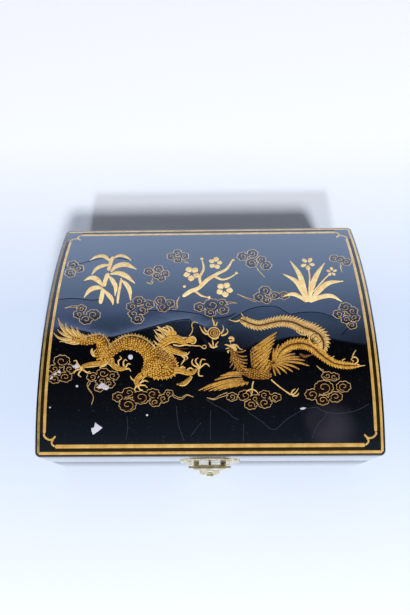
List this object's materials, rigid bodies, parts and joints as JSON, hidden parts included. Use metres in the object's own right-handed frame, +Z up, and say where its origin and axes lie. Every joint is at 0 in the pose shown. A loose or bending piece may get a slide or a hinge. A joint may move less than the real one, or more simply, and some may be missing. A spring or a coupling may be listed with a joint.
{
  "type": "lacquer box",
  "caption": "Dome-topped black lacquer box with a hinged lid, gold border lines and ornament, a fabric lining, a mirror under the lid and a brass hasp.",
  "frame": {"origin": "the middle of the underside, on the surface that the box stands on", "axes": "+X along the width to the right, +Y to the back with the hinges, +Z up; the hasp is on the -Y face"},
  "size_m": [0.28, 0.2319, 0.0985],
  "materials": {
    "lacquer": "black gloss lacquer on wood",
    "gold_paint": "gold painted line",
    "brass": "thin lacquered brass, worn",
    "steel": "plain drawn wire",
    "satin": "red satin over card",
    "gilt_wood": "gilt moulding",
    "mirror_glass": "silvered glass"
  },
  "bodies": {
    "case": {"base_back_board": "lacquer", "base_front_board": "lacquer", "base_left_board": "lacquer", "base_right_board": "lacquer", "bottom_board": "lacquer", "clasp_lower_plate": "brass", "hinge_base_screw_1": "brass", "hinge_base_screw_2": "brass", "hinge_base_screw_3": "brass", "hinge_base_screw_4": "brass", "hinge_left_base_leaf": "brass", "hinge_left_pin": "steel", "hinge_right_base_leaf": "brass", "hinge_right_pin": "steel", "lining_back": "satin", "lining_floor": "satin", "lining_front": "satin", "lining_left": "satin", "lining_right": "satin", "lower_plate_nail_1": "brass", "lower_plate_nail_2": "brass", "staple": "brass"},
    "lid": {"lid_front_rail": "lacquer", "lid_back_rail": "lacquer", "lid_left_end": "lacquer", "lid_right_end": "lacquer", "lid_top_panel": "lacquer", "lid_lining_front": "satin", "lid_lining_back": "satin", "lid_lining_left": "satin", "lid_lining_right": "satin", "lid_inner_panel": "satin", "mirror": "mirror_glass", "mirror_frame_back": "gilt_wood", "mirror_frame_front": "gilt_wood", "mirror_frame_left": "gilt_wood", "mirror_frame_right": "gilt_wood", "hinge_left_lid_leaf": "brass", "hinge_right_lid_leaf": "brass", "clasp_upper_plate": "brass", "clasp_left_ear": "brass", "clasp_right_ear": "brass", "hasp_pin": "brass", "upper_plate_nail_1": "brass", "upper_plate_nail_2": "brass", "hinge_lid_screw_1": "brass", "hinge_lid_screw_2": "brass", "hinge_lid_screw_3": "brass", "hinge_lid_screw_4": "brass"},
    "hasp": {"hasp": "brass"}
  },
  "joints": [
    {"name": "lid_hinge", "type": "hinge", "parent": "case", "child": "lid", "pos_m": [0, 0.1104, 0.04], "axis": [-1, 0, 0], "range_deg": [0, 110]},
    {"name": "hasp_hinge", "type": "hinge", "parent": "lid", "child": "hasp", "pos_m": [0, -0.11315, 0.0465], "axis": [-1, 0, 0], "range_deg": [-18.7, 155]}
  ]
}
